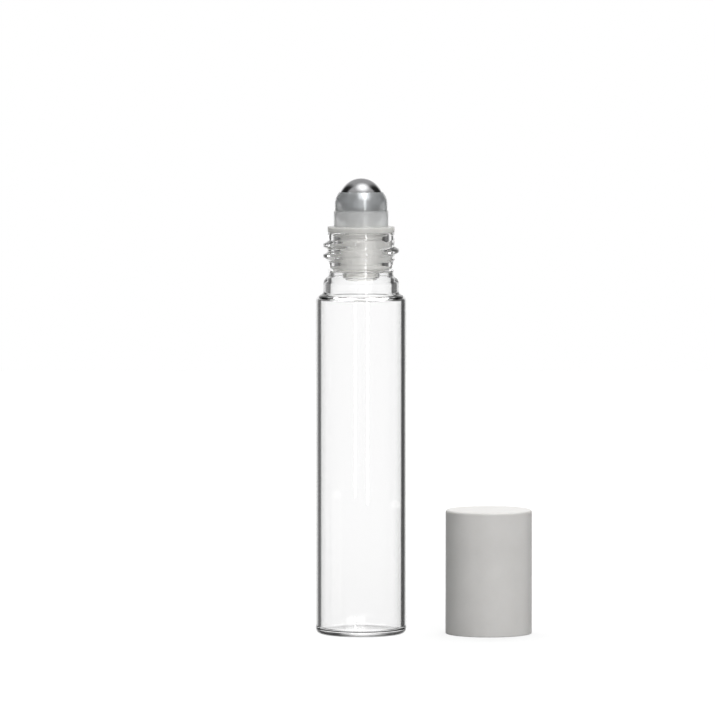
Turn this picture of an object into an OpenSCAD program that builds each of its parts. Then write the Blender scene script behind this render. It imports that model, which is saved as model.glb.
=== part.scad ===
// Clear glass roll-on bottle for scented oil, with its cap taken off and standing beside it.
// Millimetres, upright, +Z up. The origin is the middle of the bottle's foot, on the table.
// Four pieces: the glass bottle, the moulded roller housing pressed into its neck, the steel
// ball snapped into the housing, and the one-piece screw cap. All are turned about their own
// upright axis. The screw threads are left out, so neck and cap are plain where threads run.

/* [Glass body] */
// Outside diameter of the glass tube
body_d = 18; // [16.5:0.5:24]
// Wall of the glass tube
glass_wall = 1; // [0.8:0.05:1.3]
// Height from the table to the top of the straight side
body_h = 66.3; // [35:0.1:95]
// Outside radius of the corner at the foot
foot_round = 1.1; // [1:0.1:2]
// Width of the flat ring that the bottle stands on
foot_ring = 0.8; // [0.5:0.1:1.2]
// Rise of the middle of the base above the table
push_up = 0.4; // [0.3:0.05:0.9]
// Thickness of the glass in the middle of the base
base_t = 1.05; // [0.9:0.05:2]
// Inside radius of the corner between floor and wall
floor_round = 0.6; // [0.6:0.1:1.6]

/* [Glass shoulder and collar] */
// Outside radius where the body turns in to the shoulder
shoulder_round = 1.3; // [1:0.1:2.2]
// Hollow radius where the shoulder meets the collar
collar_foot_round = 0.7; // [0.4:0.1:1.2]
// How far the collar stands out past the neck
collar_proud = 0.82; // [0.6:0.02:1.1]
// Height of the collar's straight side
collar_h = 1.5; // [1.2:0.1:3]
// Wall of the collar
collar_wall = 1.4; // [0.9:0.05:1.6]
// Outside radius of the collar's upper corner
collar_round = 1.5; // [0.8:0.1:1.8]
// Hollow radius where the collar meets the waist
waist_foot_round = 0.5; // [0.3:0.1:0.8]

/* [Glass neck] */
// Bore of the neck
mouth_d = 8.4; // [7.8:0.1:9.2]
// Wall of the neck behind the thread, thick from being pressed on a mandrel
neck_wall = 2.48; // [2.2:0.02:2.8]
// Radius of the ledge's two edges at the narrow bore's lower end
bore_foot_round = 0.4; // [0.2:0.05:0.6]
// How far the waist is drawn in below the thread
waist_inset = 0.25; // [0.2:0.05:0.5]
// Height of the waist's straight side
waist_h = 2.5; // [1.5:0.1:3.5]
// Wall of the waist
waist_wall = 0.95; // [0.8:0.05:1.2]
// Height of the wide bore inside the waist, from the collar's bend up to the narrow bore's ledge
waist_bore_h = 0.3; // [0.1:0.05:0.8]
// Radius of the soft step from the waist out to the neck
waist_round = 0.3; // [0.2:0.05:0.4]
// Height of the neck from that step to its rim
neck_h = 5.5; // [4.5:0.1:8]
// Radius of the rim's outer edge
rim_round = 0.45; // [0.2:0.05:0.6]
// Radius of the rim's inner edge
mouth_round = 0.25; // [0.15:0.05:0.4]

/* [Roller ball] */
// Diameter of the ball
ball_d = 9; // [8.4:0.1:9.5]
// Height of the ball's centre above the glass rim
ball_rise = 6.2; // [5.8:0.1:7]

/* [Roller housing] */
// Thickness of the flange on the rim
flange_t = 1.1; // [0.8:0.1:1.6]
// How far the flange stays inside the neck's outside
flange_inset = 0.03; // [0.01:0.01:0.1]
// Radius of the flange's edges
flange_round = 0.15; // [0.1:0.05:0.3]
// Gap between the ball and its socket
ball_gap = 0.04; // [0.02:0.01:0.08]
// Wall of the cup at the ball's waist
cup_wall = 0.87; // [0.7:0.01:1]
// How far the cup steps in above its thick lower band
cup_ledge = 0.18; // [0.1:0.02:0.3]
// Depth of that step below the ball's centre
ledge_drop = 1.9; // [1.5:0.1:2.4]
// Depth below the ball's centre at which the cup starts to close over it
dome_drop = 0.7; // [0.3:0.1:1]
// Height of the lip above the ball's centre
lip_rise = 1.8; // [1.4:0.1:2.2]
// Thickness of the springy lip
lip_t = 0.17; // [0.12:0.01:0.3]
// Depth of the plug inside the neck
plug_len = 7.4; // [6:0.1:8.5]
// Gap between the plug and the glass, off its rings
plug_gap = 0.14; // [0.1:0.01:0.2]
// Gap between a sealing ring and the glass
ring_gap = 0.02; // [0.01:0.01:0.04]
// Height of a sealing ring
ring_h = 0.7; // [0.4:0.1:1]
// Number of sealing rings
ring_count = 3; // [2:1:4]
// Lead-in at the plug's lower edge
plug_lead = 0.25; // [0.1:0.05:0.3]
// Length of the feed tube below the rim
tube_len = 10; // [9:0.1:13]
// How far the feed tube steps in from the plug
tube_inset = 0.36; // [0.3:0.02:0.6]
// Wall of the feed tube
tube_wall = 0.8; // [0.6:0.05:1]
// Depth of the feed hole's step below the rim
feed_step_depth = 3.5; // [2.5:0.1:5]
// Diameter of the feed hole under the ball
feed_d = 4; // [3:0.1:4.6]
// Number of feed channels in the seat
channel_count = 4; // [3:1:6]
// Width of a feed channel
channel_w = 0.6; // [0.4:0.05:0.9]
// Depth of a feed channel
channel_depth = 0.25; // [0.15:0.05:0.35]
// How far the channels run past the feed hole's edge
channel_reach = 1.2; // [0.8:0.1:1.5]

/* [Cap] */
// Gap between the foot of the screwed-home cap and the foot of the glass collar
shoulder_gap = 0.4; // [0.2:0.1:1]
// Room above the ball under the screwed-home cap's roof
roof_gap = 1.7; // [1:0.1:5]
// Wall of the cap
cap_wall = 0.9; // [0.7:0.05:1.4]
// How far the bore steps in above its threaded part
cap_bore_step = 0.2; // [0.1:0.05:0.4]
// Thickness of the cap's top
cap_top_t = 1; // [0.8:0.05:1.6]
// Gap between the cap's bore and the glass collar
collar_gap = 0.2; // [0.1:0.02:0.4]
// Radius of the top's outer edge
cap_round = 0.5; // [0.4:0.05:1]
// Radius of the foot's outer edge
cap_foot_round = 0.2; // [0.1:0.05:0.4]
// Lead-in at the mouth of the bore
cap_lead = 0.3; // [0.2:0.05:0.4]
// Radius of the corner between bore and roof
roof_round = 0.4; // [0.2:0.1:0.8]
// Gap between the sealing skirt and the roller cup
skirt_gap = 0.06; // [0.03:0.01:0.12]
// Wall of the sealing skirt
cap_skirt_wall = 0.75; // [0.6:0.05:0.9]
// Lead-in at the sealing skirt's lower edge
cap_skirt_lead = 0.3; // [0.1:0.05:0.35]
// Inner diameter of the ring that reaches down from the roof to press on the ball
press_ring_d = 5.2; // [4:0.1:6]
// Wall of that ring
press_ring_wall = 0.7; // [0.5:0.05:0.9]
// Distance from the bottle's axis to the axis of the cap beside it
cap_distance = 25.4; // [22:0.1:60]

/* [Hidden] */
$fn = 96;
// Straight pieces in a small fillet, and in a long curve
fillet_steps = 6;
curve_steps = 12;
// Least radius left on the inside of a bend, where its wall takes up the outside radius
inner_round = 0.3;
// Part of a sealing ring's height that is its cylindrical land
ring_land_share = 0.4;

// Colours
glass_colour = [0.84, 0.91, 0.91, 0.35];
housing_colour = [0.9, 0.91, 0.88];
steel_colour = [0.66, 0.67, 0.69];
cap_colour = [0.85, 0.84, 0.83];

// Radii of the glass
body_r = body_d / 2;
mouth_r = mouth_d / 2;
neck_r = mouth_r + neck_wall;
waist_r = neck_r - waist_inset;
collar_r = neck_r + collar_proud;
body_bore_r = body_r - glass_wall;
collar_bore_r = collar_r - collar_wall;
waist_bore_r = waist_r - waist_wall;
foot_out_r = body_r - foot_round;
foot_in_r = foot_out_r - foot_ring;

// Heights of the glass, from the table up to its rim
collar_z = body_h + bend_rise(body_r, collar_r, shoulder_round, collar_foot_round);
collar_top_z = collar_z + collar_h;
waist_z = collar_top_z + bend_rise(collar_r, waist_r, collar_round, waist_foot_round);
waist_top_z = waist_z + waist_h;
neck_z = waist_top_z + bend_rise(waist_r, neck_r, waist_round, waist_round);
rim_z = neck_z + neck_h;

// Inside radii of the glass bends, one wall away from the outside ones
shoulder_bore_round = max(shoulder_round - glass_wall, inner_round);
collar_bore_foot_round = collar_foot_round + glass_wall;
collar_bore_round = max(collar_round - collar_wall, inner_round);
waist_bore_foot_round = waist_foot_round + collar_wall;

// Heights of the inside, from the collar's bend up to the narrow bore's ledge
waist_bore_z = collar_top_z
    + bend_rise(collar_bore_r, waist_bore_r, collar_bore_round, waist_bore_foot_round);
bore_foot_z = waist_bore_z + waist_bore_h;

// Ball and socket
ball_r = ball_d / 2;
ball_z = rim_z + ball_rise;
socket_r = ball_r + ball_gap;

// Roller housing
flange_r = neck_r - flange_inset;
flange_top_z = rim_z + flange_t;
cup_r = socket_r + cup_wall;
dome_r = cup_r - cup_ledge;
ledge_z = ball_z - ledge_drop;
dome_z = ball_z - dome_drop;
lip_z = ball_z + lip_rise;
lip_r = sqrt(socket_r * socket_r - lip_rise * lip_rise) + lip_t;
plug_r = mouth_r - plug_gap;
ring_r = mouth_r - ring_gap;
plug_z = rim_z - plug_len;
tube_z = rim_z - tube_len;
tube_r = plug_r - tube_inset;
tube_bore_r = tube_r - tube_wall;
feed_r = feed_d / 2;
feed_step_z = rim_z - feed_step_depth;
channel_end_r = feed_r + channel_reach;
channel_top_z = ball_z - sqrt(socket_r * socket_r - channel_end_r * channel_end_r);

// Cap, standing on the table with its mouth down
cap_bore_r = collar_r + collar_gap;
cap_r = cap_bore_r + cap_wall;
cap_upper_r = cap_bore_r - cap_bore_step;
// How far up the bottle the cap's foot is when it is screwed home. The press ring then touches
// the ball just as the skirt lands on the flange.
cap_seat_z = collar_z + shoulder_gap;
press_ring_r = press_ring_d / 2;
press_ring_z = ball_z + sqrt(ball_r * ball_r - press_ring_r * press_ring_r) - cap_seat_z;
cap_skirt_z = flange_top_z - cap_seat_z;
cap_skirt_r = cup_r + skirt_gap;
cap_skirt_out_r = cap_skirt_r + cap_skirt_wall;
roof_z = ball_z + ball_r + roof_gap - cap_seat_z;
cap_h = roof_z + cap_top_t;

// Points on an arc about [x, y], from one angle to another
function arc(x, y, r, from_a, to_a, steps) =
    [for (i = [0 : steps])
        let (a = from_a + (to_a - from_a) * i / steps)
        [x + r * cos(a), y + r * sin(a)]];

// Points on the shallow arc from the axis, at height z + rise, out to radius r, at height z
function crown(r, z, rise) =
    let (big_r = (r * r + rise * rise) / (2 * rise), half_a = asin(r / big_r))
    arc(0, z + rise - big_r, big_r, 90, 90 - half_a, curve_steps);

// Angle through which a wall turns and turns back to pass from radius r1 to radius r2
function bend_angle(r1, r2, round_1, round_2) =
    abs(r1 - r2) < round_1 + round_2 ? acos(1 - abs(r1 - r2) / (round_1 + round_2)) : 90;

// Height that such a bend takes
function bend_rise(r1, r2, round_1, round_2) =
    (round_1 + round_2) * sin(bend_angle(r1, r2, round_1, round_2));

// Points on the bend, going up from [r1, z]
function bend(r1, r2, z, round_1, round_2) =
    let (
        turn = bend_angle(r1, r2, round_1, round_2),
        side = r1 > r2 ? 1 : -1,
        end_z = z + bend_rise(r1, r2, round_1, round_2)
    )
    concat(
        [for (i = [0 : fillet_steps])
            let (a = turn * i / fillet_steps)
            [r1 - side * round_1 * (1 - cos(a)), z + round_1 * sin(a)]],
        [for (i = [0 : fillet_steps])
            let (a = turn * (1 - i / fillet_steps))
            [r2 + side * round_2 * (1 - cos(a)), end_z - round_2 * sin(a)]]
    );

// The same points in the opposite order
function backwards(points) = [for (i = [len(points) - 1 : -1 : 0]) points[i]];

// Outline of one sealing ring on the plug, with its middle at height z
function sealing_ring(z) = [
    [plug_r, z - ring_h / 2],
    [ring_r, z - ring_h * ring_land_share / 2],
    [ring_r, z + ring_h * ring_land_share / 2],
    [plug_r, z + ring_h / 2]
];

// Tubular glass, drawn in at the shoulder and again above the collar. The finish is pressed thick
// around a narrow bore, which opens out at a ledge just below the housing's plug.
module glass_bottle() {
    outside = concat(
        crown(foot_in_r, 0, push_up),
        arc(foot_out_r, foot_round, foot_round, -90, 0, fillet_steps),
        bend(body_r, collar_r, body_h, shoulder_round, collar_foot_round),
        bend(collar_r, waist_r, collar_top_z, collar_round, waist_foot_round),
        bend(waist_r, neck_r, waist_top_z, waist_round, waist_round),
        arc(neck_r - rim_round, rim_z - rim_round, rim_round, 0, 90, fillet_steps)
    );
    inside = concat(
        crown(body_bore_r - floor_round, base_t, push_up),
        arc(body_bore_r - floor_round, base_t + floor_round, floor_round, -90, 0, fillet_steps),
        bend(body_bore_r, collar_bore_r, body_h, shoulder_bore_round, collar_bore_foot_round),
        bend(collar_bore_r, waist_bore_r, collar_top_z, collar_bore_round, waist_bore_foot_round),
        bend(waist_bore_r, mouth_r, bore_foot_z, bore_foot_round, bore_foot_round),
        arc(mouth_r + mouth_round, rim_z - mouth_round, mouth_round, 180, 90, fillet_steps)
    );
    color(glass_colour)
    rotate_extrude()
    polygon(concat(backwards(outside), inside));
}

// One moulding: flange, sealing plug, feed tube, and the cup that snaps over the ball
module roller_housing() {
    dome_shrink = dome_r - lip_r;
    dome_h = lip_z - dome_z;
    dome_arc_r = (dome_h * dome_h + dome_shrink * dome_shrink) / (2 * dome_shrink);
    outline = concat(
        [[feed_r, feed_step_z], [tube_bore_r, feed_step_z]],
        [[tube_bore_r, tube_z], [tube_r, tube_z], [tube_r, plug_z]],
        [[plug_r - plug_lead, plug_z], [plug_r, plug_z + plug_lead]],
        [for (i = [0 : ring_count - 1])
            each sealing_ring(plug_z + plug_len * (i + 1 / 2) / ring_count)],
        [[plug_r, rim_z]],
        arc(flange_r - flange_round, rim_z + flange_round, flange_round, -90, 0, fillet_steps),
        arc(flange_r - flange_round, flange_top_z - flange_round, flange_round, 0, 90, fillet_steps),
        [[cup_r, flange_top_z], [cup_r, ledge_z - cup_ledge], [dome_r, ledge_z]],
        arc(dome_r - dome_arc_r, dome_z, dome_arc_r, 0, asin(dome_h / dome_arc_r), curve_steps),
        [[feed_r, lip_z]]
    );
    color(housing_colour)
    difference() {
        rotate_extrude()
        polygon(outline);
        translate([0, 0, ball_z])
        sphere(r = socket_r);
        for (i = [0 : channel_count - 1]) {
            rotate([0, 0, i * 360 / channel_count])
            seat_channel();
        }
    }
}

// Shallow groove in the ball's seat that lets the oil out from the feed hole
module seat_channel() {
    intersection() {
        translate([0, 0, ball_z])
        sphere(r = socket_r + channel_depth);
        translate([0, -channel_w / 2, feed_step_z])
        cube([channel_end_r, channel_w, channel_top_z - feed_step_z]);
    }
}

// Polished steel ball
module roller_ball() {
    color(steel_colour)
    translate([0, 0, ball_z])
    sphere(r = ball_r);
}

// One-piece moulded cap, off the bottle and standing on its mouth
module screw_cap() {
    outside = concat(
        [[0, cap_h]],
        arc(cap_r - cap_round, cap_h - cap_round, cap_round, 90, 0, fillet_steps),
        arc(cap_r - cap_foot_round, cap_foot_round, cap_foot_round, 0, -90, fillet_steps)
    );
    inside = concat(
        [[cap_bore_r + cap_lead, 0], [cap_bore_r, cap_lead]],
        [[cap_bore_r, cap_skirt_z], [cap_upper_r, cap_skirt_z + cap_bore_step]],
        arc(cap_upper_r - roof_round, roof_z - roof_round, roof_round, 0, 90, fillet_steps),
        [[cap_skirt_out_r, roof_z], [cap_skirt_out_r, cap_skirt_z]],
        [[cap_skirt_r + cap_skirt_lead, cap_skirt_z], [cap_skirt_r, cap_skirt_z + cap_skirt_lead]],
        [[cap_skirt_r, roof_z]],
        [[press_ring_r + press_ring_wall, roof_z], [press_ring_r + press_ring_wall, press_ring_z]],
        [[press_ring_r, press_ring_z], [press_ring_r, roof_z], [0, roof_z]]
    );
    color(cap_colour)
    translate([cap_distance, 0, 0])
    rotate_extrude()
    polygon(concat(outside, inside));
}

glass_bottle();
roller_housing();
roller_ball();
screw_cap();
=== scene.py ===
import math

import bpy
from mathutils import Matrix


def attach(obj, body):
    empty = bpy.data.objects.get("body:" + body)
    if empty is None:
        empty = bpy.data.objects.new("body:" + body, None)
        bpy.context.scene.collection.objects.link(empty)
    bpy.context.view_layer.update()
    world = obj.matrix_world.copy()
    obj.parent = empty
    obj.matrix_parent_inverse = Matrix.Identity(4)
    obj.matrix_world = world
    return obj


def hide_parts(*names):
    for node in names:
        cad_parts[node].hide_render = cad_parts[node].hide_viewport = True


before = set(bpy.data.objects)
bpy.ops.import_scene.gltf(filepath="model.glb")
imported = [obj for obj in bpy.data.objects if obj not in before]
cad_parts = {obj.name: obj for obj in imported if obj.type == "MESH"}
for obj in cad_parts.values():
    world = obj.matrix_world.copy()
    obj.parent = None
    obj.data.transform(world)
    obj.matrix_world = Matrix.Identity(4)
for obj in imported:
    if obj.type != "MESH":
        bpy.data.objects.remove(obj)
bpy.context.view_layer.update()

# Sizes below are named in millimetres, as a maker writes them. MM turns them into metres.
MM = 0.001

# Camera. The photograph is taken through a long lens from 1.4 m away, looking a little down.
# Its scale is about 5 pixels to the millimetre, and it is as wide as it is high.
photo_side = 715
lens_px = 7043
sensor_width = 36
camera_distance = 1.4
camera_pitch = math.radians(3.62)
aim_x = -0.72
aim_z = 55.04
nearest_seen = 10
bpy.ops.object.camera_add(
    location=(
        aim_x * MM,
        -camera_distance * math.cos(camera_pitch),
        aim_z * MM + camera_distance * math.sin(camera_pitch),
    ),
    rotation=(math.pi / 2 - camera_pitch, 0, 0),
)
camera = bpy.context.object
camera.data.sensor_width = sensor_width
camera.data.lens = sensor_width * lens_px / photo_side
camera.data.clip_start = nearest_seen * MM
bpy.context.scene.camera = camera

# Glass bottle. Clear soda-lime tube, drawn in hot at the shoulder and above the collar, with
# a pushed-up base. The one-and-a-half-turn screw thread is rolled into the neck's outside.
body_r = 9
glass_wall = 1
body_h = 66.3
foot_round = 1.1
foot_ring = 0.8
push_up = 0.4
base_t = 1.05
floor_round = 0.6
shoulder_round = 1.3
collar_foot_round = 0.7
collar_r = 7.5
collar_h = 1.5
collar_wall = 1.4
collar_round = 1.5
waist_foot_round = 0.5
mouth_r = 4.2
neck_r = 6.68
waist_r = 6.43
waist_h = 2.5
waist_wall = 0.95
waist_round = 0.3
neck_h = 5.5
rim_round = 0.45
mouth_round = 0.25
bore_len = 7.63
bore_foot_round = 0.2
shoulder_bore_rise = 0.2
shoulder_bore_round = 0.7
waist_bore_round = 1
least_round = 0.3
thread_margin = 0.06
thread_rows = 66
turn_steps = 240
small_arc_steps = 8
arc_steps = 12
large_arc_steps = 16
hold = 0.05
long_side = 0.5
weld = 0.002
crease_angle = math.radians(32)


def arc(r, z, radius, start, end, steps=arc_steps):
    """Points on an arc about (r, z), from one angle to another in degrees."""
    angles = [math.radians(start + (end - start) * i / steps) for i in range(steps + 1)]
    return [(r + radius * math.cos(a), z + radius * math.sin(a)) for a in angles]


def crown(r, z, rise):
    """Points on the shallow arc from the axis, at height z + rise, out to radius r at height z."""
    radius = (r * r + rise * rise) / (2 * rise)
    half = math.degrees(math.asin(r / radius))
    return [(0, z + rise)] + arc(0, z + rise - radius, radius, 90, 90 - half, large_arc_steps)[1:]


def bend(r1, r2, z, round_1, round_2, steps=arc_steps):
    """Points on the wall's turn from radius r1 at height z to radius r2 higher up."""
    step = abs(r1 - r2)
    turn = math.acos(1 - step / (round_1 + round_2)) if step < round_1 + round_2 else math.pi / 2
    side = 1 if r1 > r2 else -1
    end = z + (round_1 + round_2) * math.sin(turn)
    first = [
        (r1 - side * round_1 * (1 - math.cos(turn * i / steps)), z + round_1 * math.sin(turn * i / steps))
        for i in range(steps + 1)
    ]
    second = [
        (r2 + side * round_2 * (1 - math.cos(turn * i / steps)), end - round_2 * math.sin(turn * i / steps))
        for i in range(steps, -1, -1)
    ]
    return first + second[1:]


def held(outline):
    """The outline with a point close to each end of its long straights, which then shade flat."""
    points = [outline[0]]
    for (r1, z1), (r2, z2) in zip(outline, outline[1:]):
        length = math.hypot(r2 - r1, z2 - z1)
        if length > long_side:
            for share in (hold / length, 1 - hold / length):
                points.append((r1 + (r2 - r1) * share, z1 + (z2 - z1) * share))
        points.append((r2, z2))
    return points


def turned(name, outline, body, middle=0.0):
    """A piece turned about an upright axis from its outline of (radius, height) points."""
    bpy.ops.object.select_all(action="DESELECT")
    bpy.ops.mesh.primitive_plane_add(
        size=MM, location=(MM * (middle + outline[0][0]), 0, MM * outline[0][1])
    )
    piece = bpy.context.object
    piece.name = piece.data.name = name
    bpy.ops.object.transform_apply(location=True, rotation=True, scale=True)
    bpy.ops.object.mode_set(mode="EDIT")
    bpy.ops.mesh.select_all(action="SELECT")
    bpy.ops.mesh.merge(type="CENTER")
    for (r1, z1), (r2, z2) in zip(outline, outline[1:]):
        bpy.ops.mesh.extrude_region_move(
            TRANSFORM_OT_translate={"value": (MM * (r2 - r1), 0, MM * (z2 - z1))}
        )
    bpy.ops.mesh.select_all(action="SELECT")
    bpy.ops.mesh.remove_doubles(threshold=weld * MM)
    bpy.ops.mesh.spin(steps=turn_steps, angle=math.tau, center=(MM * middle, 0, 0), axis=(0, 0, 1))
    bpy.ops.mesh.select_all(action="SELECT")
    bpy.ops.mesh.remove_doubles(threshold=weld * MM)
    bpy.ops.mesh.normals_make_consistent(inside=False)
    bpy.ops.object.mode_set(mode="OBJECT")
    bpy.ops.object.shade_smooth_by_angle(angle=crease_angle)
    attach(piece, body)
    return piece


collar_z = bend(body_r, collar_r, body_h, shoulder_round, collar_foot_round)[-1][1]
collar_top_z = collar_z + collar_h
waist_z = bend(collar_r, waist_r, collar_top_z, collar_round, waist_foot_round)[-1][1]
waist_top_z = waist_z + waist_h
neck_z = bend(waist_r, neck_r, waist_top_z, waist_round, waist_round)[-1][1]
rim_z = neck_z + neck_h
thread_low = neck_z + thread_margin
thread_high = rim_z - rim_round - thread_margin
foot_out_r = body_r - foot_round
floor_r = body_r - glass_wall - floor_round
glass_outside = held(
    crown(foot_out_r - foot_ring, 0, push_up)
    + arc(foot_out_r, foot_round, foot_round, -90, 0, large_arc_steps)
    + bend(body_r, collar_r, body_h, shoulder_round, collar_foot_round)
    + bend(collar_r, waist_r, collar_top_z, collar_round, waist_foot_round)
    + bend(waist_r, neck_r, waist_top_z, waist_round, waist_round, small_arc_steps)
    + [
        (neck_r, thread_low + (thread_high - thread_low) * i / thread_rows)
        for i in range(thread_rows + 1)
    ]
    + arc(neck_r - rim_round, rim_z - rim_round, rim_round, 0, 90)
)
glass_inside = held(
    crown(floor_r, base_t, push_up)
    + arc(floor_r, base_t + floor_round, floor_round, -90, 0)[1:]
    + bend(
        body_r - glass_wall,
        collar_r - collar_wall,
        body_h,
        max(shoulder_round - glass_wall, least_round),
        collar_foot_round + glass_wall,
    )
    + bend(
        collar_r - collar_wall,
        waist_r - waist_wall,
        collar_top_z + shoulder_bore_rise,
        shoulder_bore_round,
        waist_bore_round,
    )
    + bend(
        waist_r - waist_wall,
        mouth_r,
        rim_z - bore_len - 2 * bore_foot_round,
        bore_foot_round,
        bore_foot_round,
    )
    + arc(mouth_r + mouth_round, rim_z - mouth_round, mouth_round, 180, 90, small_arc_steps)
)
glass = turned("bottle_glass", glass_outside + glass_inside[::-1], "bottle")

full_turn = 360
left_side = 180
thread_pitch = 2.117
thread_left_z = 75.25
thread_start = 110
thread_end = 640
thread_fade = 28
thread_h = 0.85
thread_land = 0.2
thread_flank = 0.66
most_turns = 3
near_wall = 0.1


def smooth(share):
    """A soft step from 0 to 1."""
    share = min(max(share, 0), 1)
    return share * share * (3 - 2 * share)


def ridge(angle, z, left_z):
    """How high a thread stands at an angle and a height, as a share of its full height."""
    most = 0
    for turn in range(most_turns):
        around = angle + full_turn * turn
        ends = min(around - thread_start, thread_end - around) / thread_fade
        off = abs(z - left_z - thread_pitch * (around - left_side) / full_turn)
        most = max(most, smooth(ends) * smooth(1 - (off - thread_land) / thread_flank))
    return most


def push_out(piece, name, shares, height):
    """Moves a piece's vertices out along their normals, each by its own share of a height."""
    moved = piece.vertex_groups.new(name=name)
    for index, share in shares:
        if share > 0:
            moved.add([index], share, "REPLACE")
    push = piece.modifiers.new(name, "DISPLACE")
    push.direction = "NORMAL"
    push.mid_level = 0
    push.strength = height * MM
    push.vertex_group = moved.name
    bpy.ops.object.select_all(action="DESELECT")
    bpy.context.view_layer.objects.active = piece
    piece.select_set(True)
    bpy.ops.object.modifier_apply(modifier=push.name)


def raise_thread(piece, middle, wall_r, low, high, left_z, height):
    """Gives the straight wall at a radius, between two heights, its screw thread."""
    shares = []
    for v in piece.data.vertices:
        x, y, z = v.co.x / MM - middle, v.co.y / MM, v.co.z / MM
        if low <= z <= high and abs(math.hypot(x, y) - wall_r) < near_wall:
            shares.append((v.index, ridge(math.degrees(math.atan2(y, x)) % full_turn, z, left_z)))
    push_out(piece, "thread", shares, height)


raise_thread(glass, 0, neck_r, thread_low, thread_high, thread_left_z, thread_h)

node_gap = 220
colour_low = 6
colour_high = 7
colour_exit = 2
glass_ior = 1.51
smudge_size = 90
smudge_start = 0.45
smudge_full = 0.75
smudge_rough = 0.02
unbent_tint = (0.96, 0.97, 0.965, 1)


def feed(tree, made, slot, value):
    """Sets an input of a node to a plain value, or links it to a socket."""
    if isinstance(value, bpy.types.NodeSocket):
        tree.links.new(value, made.inputs[slot])
    else:
        made.inputs[slot].default_value = value


def node(tree, kind, **values):
    """Adds a node to the right of a tree's others, with its settings and its inputs."""
    made = tree.nodes.new(kind)
    made.location.x = node_gap * len(tree.nodes)
    for name, value in values.items():
        if hasattr(made, name):
            setattr(made, name, value)
        else:
            feed(tree, made, name.replace("_", " "), value)
    return made


def maths(tree, kind, first, second=0.0):
    """A maths node between two numbers or sockets."""
    made = node(tree, "ShaderNodeMath", operation=kind)
    feed(tree, made, 0, first)
    feed(tree, made, 1, second)
    return made.outputs[0]


def fade(tree, value, start, end, low, high, kind="SMOOTHSTEP"):
    """A step, soft or straight, from low to high as a value goes from start to end."""
    made = node(
        tree,
        "ShaderNodeMapRange",
        interpolation_type=kind,
        Value=value,
        From_Min=start,
        From_Max=end,
        To_Min=low,
        To_Max=high,
    )
    return made.outputs["Result"]


def spread(tree, mask, low, high):
    """Spreads a mask evenly over a range of values."""
    return fade(tree, mask, 0.0, 1.0, low, high, "LINEAR")


def blend(tree, factor, low, high):
    """Between two numbers or sockets, by a factor."""
    return node(tree, "ShaderNodeMix", data_type="FLOAT", Factor=factor, A=low, B=high).outputs["Result"]


def blend_colours(tree, factor, low, high):
    """Between two plain colours, by a factor."""
    made = node(tree, "ShaderNodeMix", data_type="RGBA", Factor=factor)
    feed(tree, made, colour_low, (*low, 1))
    feed(tree, made, colour_high, (*high, 1))
    return made.outputs[colour_exit]


def blend_shaders(tree, factor, low, high):
    """Between two shaders, by a factor."""
    made = node(tree, "ShaderNodeMixShader", Fac=factor)
    feed(tree, made, 1, low)
    feed(tree, made, 2, high)
    return made.outputs[0]


def new_group(name, entry, *exits):
    """An empty shader node group with one number going in and named numbers coming out."""
    group = bpy.data.node_groups.new(name, "ShaderNodeTree")
    group.interface.new_socket(name=entry, in_out="INPUT", socket_type="NodeSocketFloat")
    for leave in exits:
        group.interface.new_socket(name=leave, in_out="OUTPUT", socket_type="NodeSocketFloat")
    return group


def new_material(name):
    """An empty node material, and its tree."""
    made = bpy.data.materials.new(name)
    made.use_nodes = True
    made.node_tree.nodes.clear()
    return made, made.node_tree


# Handling leaves soft smudges on hard, shiny faces. The ball has them too, but smaller.
marks = new_group("handling_marks", "Size", "Smudge")
broad = node(
    marks,
    "ShaderNodeTexNoise",
    Vector=node(marks, "ShaderNodeTexCoord").outputs["Object"],
    Scale=node(marks, "NodeGroupInput").outputs["Size"],
    Detail=4.0,
    Roughness=0.6,
)
smudge = fade(marks, broad.outputs["Fac"], smudge_start, smudge_full, 0.0, 1.0, "LINEAR")
node(marks, "NodeGroupOutput", Smudge=smudge)


def glass_shader(tree):
    """Clear glass with faint smudges. Shadows and soft light pass it unbent, with little loss."""
    touched = node(tree, "ShaderNodeGroup", node_tree=marks, Size=smudge_size)
    bent = node(
        tree,
        "ShaderNodeBsdfPrincipled",
        Base_Color=(1, 1, 1, 1),
        Roughness=spread(tree, touched.outputs["Smudge"], 0.0, smudge_rough),
        IOR=glass_ior,
        Transmission_Weight=1.0,
    )
    straight = node(tree, "ShaderNodeBsdfTransparent", Color=unbent_tint)
    path = node(tree, "ShaderNodeLightPath")
    unbent = maths(tree, "MAXIMUM", path.outputs["Is Shadow Ray"], path.outputs["Is Diffuse Ray"])
    return blend_shaders(tree, unbent, bent.outputs[0], straight.outputs[0])


clear_glass, tree = new_material("clear_glass")
node(tree, "ShaderNodeOutputMaterial", Surface=glass_shader(tree))
glass.data.materials.append(clear_glass)

# Round the plug, oil wets the bore in patches, most between the plug's sealing rings. There light
# passes from the glass to the plug unbent, and where it is dry the bore shines like a mirror.
plug_len = 7.4
ring_count = 3
wet_patch_size = 2.0
wet_front_share = 0.6
wet_patch_share = 2.4
film_start = 0.42
film_full = 0.56
oil_creep = 0.3
near_face = 0.02
oiled_glass, tree = new_material("oiled_glass")
place = node(tree, "ShaderNodeTexCoord").outputs["Object"]
x, y, z = node(tree, "ShaderNodeSeparateXYZ", Vector=place).outputs
patches = node(
    tree,
    "ShaderNodeTexNoise",
    Vector=place,
    Scale=1 / (wet_patch_size * MM),
    Detail=1.0,
    Roughness=0.5,
)
facing = maths(tree, "SUBTRACT", maths(tree, "MULTIPLY", y, y), maths(tree, "MULTIPLY", x, x))
facing = maths(tree, "DIVIDE", facing, (mouth_r * MM) ** 2)
along = maths(tree, "SUBTRACT", z, (rim_z - plug_len / ring_count / 2) * MM)
wave = maths(tree, "COSINE", maths(tree, "MULTIPLY", along, math.tau * ring_count / (plug_len * MM)))
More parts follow.
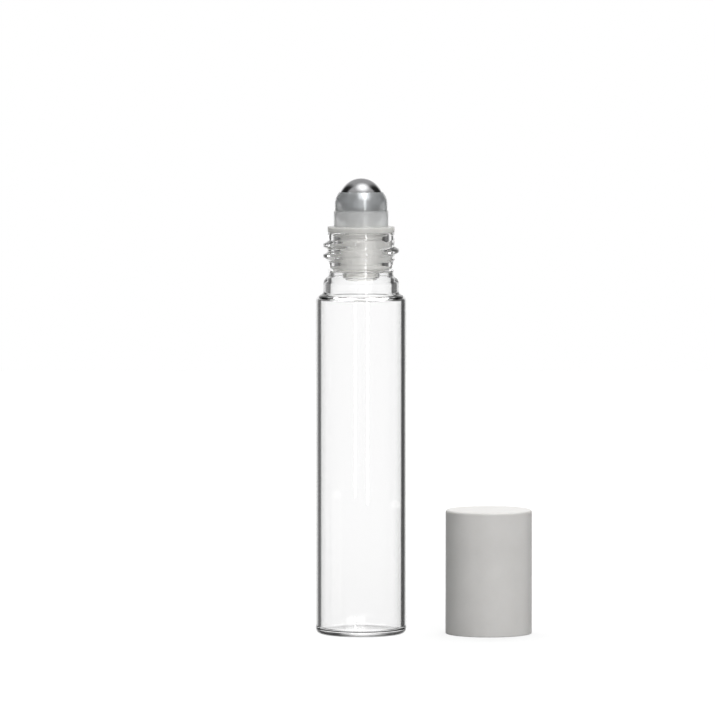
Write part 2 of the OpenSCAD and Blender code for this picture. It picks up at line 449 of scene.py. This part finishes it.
film = maths(tree, "SUBTRACT", maths(tree, "MULTIPLY", facing, wet_front_share), wave)
film = maths(tree, "ADD", film, maths(tree, "MULTIPLY", patches.outputs["Fac"], wet_patch_share))
wetness = fade(tree, film, film_start, film_full, 0.0, 1.0)
wet = node(tree, "ShaderNodeBsdfTransparent", Color=(1, 1, 1, 1)).outputs[0]
node(tree, "ShaderNodeOutputMaterial", Surface=blend_shaders(tree, wetness, glass_shader(tree), wet))
glass.data.materials.append(oiled_glass)
for face in glass.data.polygons:
    r = math.hypot(face.center.x, face.center.y) / MM
    if abs(r - mouth_r) < near_face and rim_z - plug_len - oil_creep < face.center.z / MM < rim_z:
        face.material_index = 1
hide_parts("glass_bottle")

# Roller housing. One moulding of natural, milky polyethylene, pushed into the neck: a flange
# on the rim, a plug with three sealing rings, a feed tube, and a cup that snaps over the ball.
ball_r = 4.5
ball_rise = 6.2
ball_gap = 0.04
cup_wall = 0.87
cup_ledge = 0.18
ledge_drop = 1.9
dome_drop = 0.7
lip_rise = 1.8
lip_t = 0.17
flange_t = 1.1
flange_inset = 0.03
plug_gap = 0.14
ring_gap = 0.02
ring_h = 0.7
ring_land_share = 0.4
plug_lead = 0.25
tube_len = 10
tube_inset = 0.36
tube_wall = 0.8
feed_r = 2
feed_step_depth = 3.5
feed_seam_rise = 0.6
channel_count = 4
channel_w = 0.6
channel_depth = 0.25
channel_reach = 1.2
channel_edge = 0.12
channel_end = 0.3
mould_round = 0.15
straight_turn = math.cos(math.radians(155))
most_cut = 0.45
corner_steps = 4
dome_steps = 20
socket_steps = 64

ball_z = rim_z + ball_rise
socket_r = ball_r + ball_gap
cup_r = socket_r + cup_wall
dome_r = cup_r - cup_ledge
ledge_z = ball_z - ledge_drop
dome_z = ball_z - dome_drop
lip_z = ball_z + lip_rise
lip_in_r = math.sqrt(socket_r**2 - lip_rise**2)
flange_r = neck_r - flange_inset
flange_top_z = rim_z + flange_t
plug_r = mouth_r - plug_gap
ring_r = mouth_r - ring_gap
plug_z = rim_z - plug_len
tube_r = plug_r - tube_inset
tube_bore_r = tube_r - tube_wall
tube_z = rim_z - tube_len
feed_step_z = rim_z - feed_step_depth
feed_seam = (feed_r, feed_step_z + feed_seam_rise)
channel_end_r = feed_r + channel_reach


def eased(points, radius):
    """The outline with each sharp corner rounded, as a mould leaves it."""
    rounded = [points[0]]
    for before, corner, after in zip(points, points[1:], points[2:]):
        way_in = (before[0] - corner[0], before[1] - corner[1])
        way_out = (after[0] - corner[0], after[1] - corner[1])
        length_in = math.hypot(*way_in)
        length_out = math.hypot(*way_out)
        along = (way_in[0] * way_out[0] + way_in[1] * way_out[1]) / (length_in * length_out)
        if along < straight_turn:
            rounded.append(corner)
            continue
        cut = min(radius, most_cut * length_in, most_cut * length_out)
        start = [corner[k] + way_in[k] * cut / length_in for k in (0, 1)]
        end = [corner[k] + way_out[k] * cut / length_out for k in (0, 1)]
        for i in range(corner_steps + 1):
            t = i / corner_steps
            rounded.append(
                tuple(
                    (1 - t) ** 2 * start[k] + 2 * t * (1 - t) * corner[k] + t * t * end[k] for k in (0, 1)
                )
            )
    return rounded + [points[-1]]


rings = []
ring_land = ring_h * ring_land_share
for i in range(ring_count):
    ring_z = plug_z + plug_len * (i + 1 / 2) / ring_count
    rings += [
        (plug_r, ring_z - ring_h / 2),
        (ring_r, ring_z - ring_land / 2),
        (ring_r, ring_z + ring_land / 2),
        (plug_r, ring_z + ring_h / 2),
    ]
dome_shrink = dome_r - lip_in_r - lip_t
dome_h = lip_z - dome_z
dome_arc_r = (dome_h**2 + dome_shrink**2) / (2 * dome_shrink)
dome_turn = math.degrees(math.asin(dome_h / dome_arc_r))
socket_start = math.degrees(math.asin(lip_rise / socket_r))
socket_end = -math.degrees(math.acos(feed_r / socket_r))
housing_outline = (
    [feed_seam]
    + eased(
        [
            feed_seam,
            (feed_r, feed_step_z),
            (tube_bore_r, feed_step_z),
            (tube_bore_r, tube_z),
            (tube_r, tube_z),
            (tube_r, plug_z),
            (plug_r - plug_lead, plug_z),
            (plug_r, plug_z + plug_lead),
        ]
        + rings
        + [
            (plug_r, rim_z),
            (flange_r, rim_z),
            (flange_r, flange_top_z),
            (cup_r, flange_top_z),
            (cup_r, ledge_z - cup_ledge),
            (dome_r, ledge_z),
            (dome_r, dome_z),
        ],
        mould_round,
    )[1:]
    + arc(dome_r - dome_arc_r, dome_z, dome_arc_r, 0, dome_turn, dome_steps)[1:]
    + arc(0, ball_z, socket_r, socket_start, socket_end, socket_steps)
    + [feed_seam]
)
housing = turned("roller_housing_moulding", held(housing_outline), "housing")

# Four shallow channels in the seat let the oil past the ball
channel_angle = math.tau / channel_count
shares = []
for v in housing.data.vertices:
    x, y, z = v.co.x / MM, v.co.y / MM, v.co.z / MM
    r = math.hypot(x, y)
    if abs(math.hypot(r, z - ball_z) - socket_r) < near_face and r < channel_end_r and z < ball_z:
        turn = math.atan2(y, x) % channel_angle
        off = r * min(turn, channel_angle - turn)
        share = smooth((channel_w / 2 - off) / channel_edge) * smooth((channel_end_r - r) / channel_end)
        shares.append((v.index, share))
push_out(housing, "channels", shares, -channel_depth)

cloud_scale = 160
cloud_start = 0.3
cloud_full = 0.7
grain_depth = 0.05
fine_grain = 900
plastic_ior = 1.51

# The skin of a moulded plastic has a soft cloudiness and a fine satin grain
skin = new_group("moulded_skin", "Grain", "Cloud", "Height")
place = node(skin, "ShaderNodeTexCoord").outputs["Object"]
cloud = node(skin, "ShaderNodeTexNoise", Vector=place, Scale=cloud_scale, Detail=3.0, Roughness=0.55)
grain = node(
    skin,
    "ShaderNodeTexNoise",
    Vector=place,
    Scale=node(skin, "NodeGroupInput").outputs["Grain"],
    Detail=3.0,
    Roughness=0.65,
)
node(
    skin,
    "NodeGroupOutput",
    Cloud=fade(skin, cloud.outputs["Fac"], cloud_start, cloud_full, 0.0, 1.0, "LINEAR"),
    Height=grain.outputs["Fac"],
)


def moulded(name, light, dark, rough, bump, grain=fine_grain, **settings):
    """A moulded plastic: two near shades clouded together, a satin grain and a plain gloss."""
    made, tree = new_material(name)
    face = node(tree, "ShaderNodeGroup", node_tree=skin, Grain=grain)
    height = node(
        tree,
        "ShaderNodeBump",
        Strength=bump,
        Distance=grain_depth * MM,
        Height=face.outputs["Height"],
    )
    shader = node(
        tree,
        "ShaderNodeBsdfPrincipled",
        Base_Color=blend_colours(tree, face.outputs["Cloud"], dark, light),
        Roughness=spread(tree, face.outputs["Cloud"], *rough),
        Normal=height.outputs["Normal"],
        **settings,
    )
    node(tree, "ShaderNodeOutputMaterial", Surface=shader.outputs[0])
    return made


milky = moulded(
    "milky_polyethylene",
    light=(0.65, 0.645, 0.625),
    dark=(0.61, 0.605, 0.585),
    rough=(0.28, 0.36),
    bump=0.15,
    IOR=plastic_ior,
    Transmission_Weight=0.25,
    Subsurface_Weight=0.8,
    Subsurface_Scale=0.002,
    Subsurface_Radius=(1.0, 1.0, 0.95),
)
# The plug's plastic: a little clearer where oil wets it, and painted far lighter than the flange's, as
# painted light in the shade under the flange and the cup
oiled_painted_light = moulded(
    "oiled_polyethylene_painted_light",
    light=(0.96, 0.95, 0.93),
    dark=(0.92, 0.91, 0.89),
    rough=(0.28, 0.36),
    bump=0.1,
    IOR=plastic_ior,
    Transmission_Weight=0.6,
)
hazy = moulded(
    "hazy_polyethylene",
    light=(0.84, 0.85, 0.85),
    dark=(0.80, 0.81, 0.81),
    rough=(0.36, 0.42),
    bump=0.1,
    IOR=plastic_ior,
    Transmission_Weight=0.6,
    Coat_Weight=0.2,
    Coat_Roughness=0.05,
)
thin = moulded(
    "thin_polyethylene",
    light=(0.90, 0.92, 0.93),
    dark=(0.87, 0.89, 0.90),
    rough=(0.28, 0.34),
    bump=0.06,
    IOR=plastic_ior,
    Transmission_Weight=0.9,
    Coat_Weight=1.0,
    Coat_Roughness=0.05,
)
clear = moulded(
    "clear_polyethylene",
    light=(0.99, 0.99, 0.97),
    dark=(0.97, 0.97, 0.95),
    rough=(0.0, 0.02),
    bump=0.04,
    IOR=plastic_ior,
    Transmission_Weight=1.0,
)
# The wall is thickest in the flange and the plug, where oil wets it, thinner round the seat, and thinnest
# above the ledge, where the ball shows through, and in the feed tube. The plug is the same polyethylene as
# the flange, but its colour is painted far lighter: painted light against the shade that the flange and the
# cup cast on it.
cup_foot = 0.1
plug_top = 0.05
wall_kinds = [milky, oiled_painted_light, hazy, thin, clear]
for material in wall_kinds:
    housing.data.materials.append(material)
for face in housing.data.polygons:
    z = face.center.z / MM
    wall = milky
    if z > ledge_z - cup_ledge:
        wall = thin
    elif z > flange_top_z + cup_foot:
        wall = hazy
    elif z < plug_z:
        wall = clear
    elif z < rim_z - plug_top:
        wall = oiled_painted_light
    face.material_index = wall_kinds.index(wall)
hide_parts("roller_housing")

# Roller ball. A ground and polished stainless steel ball that turns every way in its cup.
# Rolling in the oil leaves it a faint haze.
ball_cuts = (7, 3, 1)
haze_size = 420
steel_bright = (0.64, 0.64, 0.65)
steel_hazy = (0.58, 0.58, 0.59)
steel_rough = (0.14, 0.2)
bpy.ops.object.select_all(action="DESELECT")
bpy.ops.mesh.primitive_cube_add(size=MM, location=(0, 0, 0))
ball = bpy.context.object
ball.name = ball.data.name = "steel_ball"
bpy.ops.object.mode_set(mode="EDIT")
bpy.ops.mesh.select_all(action="SELECT")
for cuts in ball_cuts:
    bpy.ops.mesh.subdivide(number_cuts=cuts)
bpy.ops.mesh.select_all(action="SELECT")
bpy.ops.object.mode_set(mode="OBJECT")
for v in ball.data.vertices:
    v.co = v.co.normalized() * ball_r * MM
    v.co.z += ball_z * MM
for face in ball.data.polygons:
    face.use_smooth = True
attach(ball, "ball")

polished_steel, tree = new_material("polished_steel")
worn = node(tree, "ShaderNodeGroup", node_tree=marks, Size=haze_size).outputs["Smudge"]
steel = node(
    tree,
    "ShaderNodeBsdfPrincipled",
    Base_Color=blend_colours(tree, worn, steel_bright, steel_hazy),
    Metallic=1.0,
    Roughness=spread(tree, worn, *steel_rough),
    IOR=2.5,
)
node(tree, "ShaderNodeOutputMaterial", Surface=steel.outputs[0])
ball.data.materials.append(polished_steel)
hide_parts("roller_ball")

# Screw cap. One moulding of pale polypropylene with a satin skin, standing on its mouth. It
# has a screw thread in its bore, a skirt that seals on the cup, and a ring that holds the ball.
cap_x = 25.4
cap_r = 8.6
cap_bore_r = 7.7
cap_bore_step = 0.2
cap_round = 0.5
cap_foot_round = 0.2
cap_lead = 0.3
cap_top_t = 1
shoulder_gap = 0.4
roof_gap = 1.7
roof_round = 0.4
skirt_gap = 0.06
cap_skirt_wall = 0.75
cap_skirt_lead = 0.3
press_ring_r = 2.6
press_ring_wall = 0.7
cap_thread_h = 0.6
cap_thread_margin = 0.5
bore_ease = 0.1
roof_ease = 0.08
cap_corner_steps = 6
satin_grain = 1400

# Screwed home, the cap's foot is this far up the bottle
cap_seat_z = collar_z + shoulder_gap
cap_upper_r = cap_bore_r - cap_bore_step
roof_z = ball_z + ball_r + roof_gap - cap_seat_z
cap_h = roof_z + cap_top_t
cap_skirt_z = flange_top_z - cap_seat_z
cap_skirt_r = cup_r + skirt_gap
cap_skirt_out_r = cap_skirt_r + cap_skirt_wall
press_ring_out_r = press_ring_r + press_ring_wall
press_ring_z = ball_z + math.sqrt(ball_r**2 - press_ring_r**2) - cap_seat_z
cap_thread_low = neck_z - cap_seat_z
cap_thread_high = rim_z - cap_seat_z
cap_rows_low = cap_thread_low - cap_thread_margin
cap_rows_high = cap_thread_high + cap_thread_margin
cap_outside = (
    [(0, cap_h)]
    + arc(cap_r - cap_round, cap_h - cap_round, cap_round, 90, 0)
    + arc(cap_r - cap_foot_round, cap_foot_round, cap_foot_round, 0, -90, cap_corner_steps)
)
cap_inside = (
    eased(
        [
            (cap_r - cap_foot_round, 0),
            (cap_bore_r + cap_lead, 0),
            (cap_bore_r, cap_lead),
            (cap_bore_r, cap_rows_low),
        ],
        bore_ease,
    )[1:]
    + [
        (cap_bore_r, cap_rows_low + (cap_rows_high - cap_rows_low) * i / thread_rows)
        for i in range(1, thread_rows + 1)
    ]
    + eased(
        [
            (cap_bore_r, cap_rows_high),
            (cap_bore_r, cap_skirt_z),
            (cap_upper_r, cap_skirt_z + cap_bore_step),
            (cap_upper_r, roof_z - roof_round),
        ],
        bore_ease,
    )[1:]
    + arc(cap_upper_r - roof_round, roof_z - roof_round, roof_round, 0, 90, cap_corner_steps)[1:]
    + eased(
        [
            (cap_upper_r - roof_round, roof_z),
            (cap_skirt_out_r, roof_z),
            (cap_skirt_out_r, cap_skirt_z),
            (cap_skirt_r + cap_skirt_lead, cap_skirt_z),
            (cap_skirt_r, cap_skirt_z + cap_skirt_lead),
            (cap_skirt_r, roof_z),
            (press_ring_out_r, roof_z),
            (press_ring_out_r, press_ring_z),
            (press_ring_r, press_ring_z),
            (press_ring_r, roof_z),
            (0, roof_z),
        ],
        roof_ease,
    )[1:]
)
cap = turned("cap_moulding", held(cap_outside + cap_inside), "cap", middle=cap_x)
raise_thread(
    cap, cap_x, cap_bore_r, cap_thread_low, cap_thread_high, thread_left_z - cap_seat_z, cap_thread_h
)
satin = moulded(
    "satin_polypropylene",
    light=(0.635, 0.625, 0.61),
    dark=(0.60, 0.59, 0.575),
    rough=(0.42, 0.50),
    bump=0.35,
    grain=satin_grain,
    IOR=1.49,
    Specular_IOR_Level=0.35,
    Subsurface_Weight=0.15,
    Subsurface_Scale=0.001,
    Subsurface_Radius=(1.0, 0.9, 0.8),
)
cap.data.materials.append(satin)
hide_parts("screw_cap")

# Studio. A white table and a white backdrop between dark cards, lit by a soft box overhead and
# a little behind, and by a soft panel and a strip light to the right of the camera. The table
# isn't mirrored or seen through glass: the world below stands in for it there.
table_size = 1.6
table_grey = (0.25, 0.25, 0.25, 1)
table_dull = (0.2, 0.2, 0.2, 1)
bpy.ops.object.select_all(action="DESELECT")
bpy.ops.mesh.primitive_plane_add(size=table_size, location=(0, 0, 0))
table = bpy.context.object
table.name = "table"
table.visible_transmission = False
table.visible_glossy = False
white_table, tree = new_material("white_table")
place = node(tree, "ShaderNodeTexCoord").outputs["Object"]
from_middle = node(tree, "ShaderNodeVectorMath", operation="LENGTH")
feed(tree, from_middle, 0, place)
# The table glows white, but its glow is painted dimmer towards the middle, where the bottle and the cap
# stand: painted shade that deepens their shadows there
glow_with_painted_shade = node(
    tree,
    "ShaderNodeEmission",
    Color=(1, 1, 1, 1),
    Strength=fade(
        tree, from_middle.outputs["Value"], start=0.03, end=0.4, low=0.7, high=1.0, kind="LINEAR"
    ),
)
lit = node(tree, "ShaderNodeBsdfDiffuse", Color=table_grey)
both = node(tree, "ShaderNodeAddShader")
feed(tree, both, 0, lit.outputs[0])
feed(tree, both, 1, glow_with_painted_shade.outputs[0])
dull = node(tree, "ShaderNodeBsdfDiffuse", Color=table_dull)
path = node(tree, "ShaderNodeLightPath")
seen = blend_shaders(tree, path.outputs["Is Diffuse Ray"], both.outputs[0], dull.outputs[0])
node(tree, "ShaderNodeOutputMaterial", Surface=seen)
table.data.materials.append(white_table)


def area_lamp(name, azimuth, elevation, distance, width, height, radiance, target_z, mirrored=True):
    """A flat lamp that faces the bottle, from angles to the right of the camera and upwards."""
    a, e = math.radians(azimuth), math.radians(elevation)
    bpy.ops.object.light_add(
        type="AREA",
        location=(
            distance * math.sin(a) * math.cos(e),
            -distance * math.cos(a) * math.cos(e),
            target_z * MM + distance * math.sin(e),
        ),
        rotation=(math.pi / 2 - e, 0, a),
    )
    lamp = bpy.context.object
    lamp.name = lamp.data.name = name
    lamp.data.shape = "RECTANGLE"
    lamp.data.size = width
    lamp.data.size_y = height
    lamp.data.energy = radiance * math.pi * width * height
    lamp.visible_camera = False
    lamp.visible_glossy = mirrored


area_lamp(
    "overhead_box",
    azimuth=180,
    elevation=72,
    distance=0.6,
    width=0.72,
    height=0.72,
    radiance=4.1,
    target_z=90,
    mirrored=False,
)
area_lamp(
    "soft_panel",
    azimuth=16,
    elevation=22,
    distance=1.4,
    width=1.5,
    height=1.3,
    radiance=2.5,
    target_z=60,
    mirrored=False,
)
area_lamp(
    "strip_light",
    azimuth=17,
    elevation=13,
    distance=1.2,
    width=0.1,
    height=0.84,
    radiance=11,
    target_z=60,
)

world = bpy.data.worlds.new("studio")
bpy.context.scene.world = world
world.use_nodes = True
tree = world.node_tree
tree.nodes.clear()
sky = node(tree, "ShaderNodeBackground", Color=(1, 1, 1, 1))
node(tree, "ShaderNodeOutputWorld", Surface=sky.outputs[0])
place = node(tree, "ShaderNodeTexCoord").outputs["Generated"]
x, y, z = node(tree, "ShaderNodeSeparateXYZ", Vector=place).outputs
path = node(tree, "ShaderNodeLightPath")
azimuth = maths(tree, "ARCTAN2", x, y)
sideways = maths(tree, "ABSOLUTE", x)
behind = fade(tree, y, start=-0.1, end=0.1, low=0.0, high=1.0)

# What the outer faces mirror: the backdrop, dim above, between dark cards with white again past
# them low down, a front that gets lighter upwards, and the overhead box's soft middle
box_direction = (0.1, -0.22, 0.97)
beside = fade(tree, sideways, start=0.34, end=0.66, low=1.0, high=0.05)
past_cards = fade(tree, sideways, start=0.72, end=0.86, low=0.0, high=1.0)
low_down = fade(tree, z, start=0.0, end=0.2, low=1.0, high=0.0)
beside = maths(tree, "MAXIMUM", beside, maths(tree, "MULTIPLY", past_cards, low_down))
shine = maths(tree, "MULTIPLY", beside, fade(tree, z, start=0.25, end=0.5, low=1.0, high=0.45))
shine = blend(tree, behind, fade(tree, z, start=-0.2, end=0.25, low=0.03, high=0.5), shine)
from_box = node(tree, "ShaderNodeVectorMath", operation="DISTANCE")
feed(tree, from_box, 0, place)
feed(tree, from_box, 1, box_direction)
box_shine = fade(tree, from_box.outputs["Value"], start=0.1, end=0.6, low=1.5, high=0.0)
shine = maths(tree, "ADD", shine, box_shine)

# What the glass mirrors within its walls: the backdrop, which gets darker to its sides, and
# sooner and more to the right, and the table before it
right_share = 1.35
backdrop_edge = math.radians(33)
to_left = maths(tree, "MULTIPLY", azimuth, -1.0)
side = maths(tree, "MAXIMUM", to_left, maths(tree, "MULTIPLY", azimuth, right_share))
dark = fade(tree, azimuth, start=-0.1, end=0.1, low=0.14, high=0.08)
walls = fade(tree, side, start=0.0, end=backdrop_edge, low=1.0, high=dark)
table_width = fade(tree, sideways, start=0.4, end=0.65, low=0.9, high=0.1)
downwards = fade(tree, z, start=-0.5, end=-0.15, low=1.0, high=0.0)
walls = maths(tree, "MAXIMUM", walls, maths(tree, "MULTIPLY", table_width, downwards))

# What clear glass shows without a reflection on the way: the backdrop, greyer close to the table
through = fade(tree, z, start=-0.104, end=-0.084, low=1.06, high=1.12)
ambient = 0.09
mirrored = maths(tree, "GREATER_THAN", path.outputs["Glossy Depth"], 0.5)
level = blend(tree, path.outputs["Is Glossy Ray"], ambient, shine)
level = blend(tree, path.outputs["Is Transmission Ray"], level, blend(tree, mirrored, through, walls))
level = blend(tree, path.outputs["Is Camera Ray"], level, 1.0)
feed(tree, sky, "Strength", level)

bpy.context.scene.view_settings.view_transform = "Standard"
